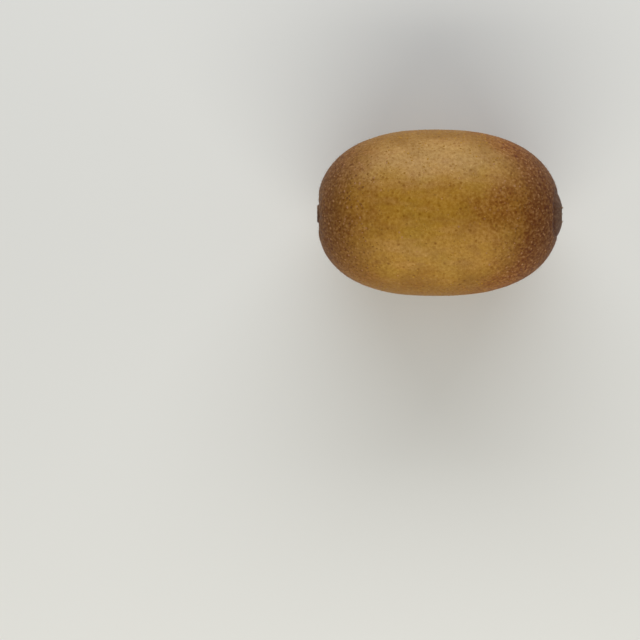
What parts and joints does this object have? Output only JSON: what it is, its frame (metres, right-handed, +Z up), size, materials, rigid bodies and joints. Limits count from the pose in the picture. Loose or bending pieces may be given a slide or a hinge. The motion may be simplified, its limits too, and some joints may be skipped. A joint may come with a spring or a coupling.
{
  "type": "golden kiwi fruit",
  "caption": "Whole golden kiwi fruit with smooth golden-brown skin, lying on its side on a small flat spot, with a stem scar at one end and a blossom nose at the other.",
  "frame": {"origin": "middle of the underside of the fruit's box, at the level that the small flat spot rests on", "axes": "+X along the fruit from the stem end to the blossom end, +Y across its width, +Z up through its thickness"},
  "size_m": [0.0732, 0.0494, 0.0461],
  "materials": {
    "golden_skin": "satin golden-brown fruit skin with fine dark dots and rust-brown ends"
  },
  "bodies": {
    "root": {"kiwi_fruit": "golden_skin"}
  },
  "joints": []
}
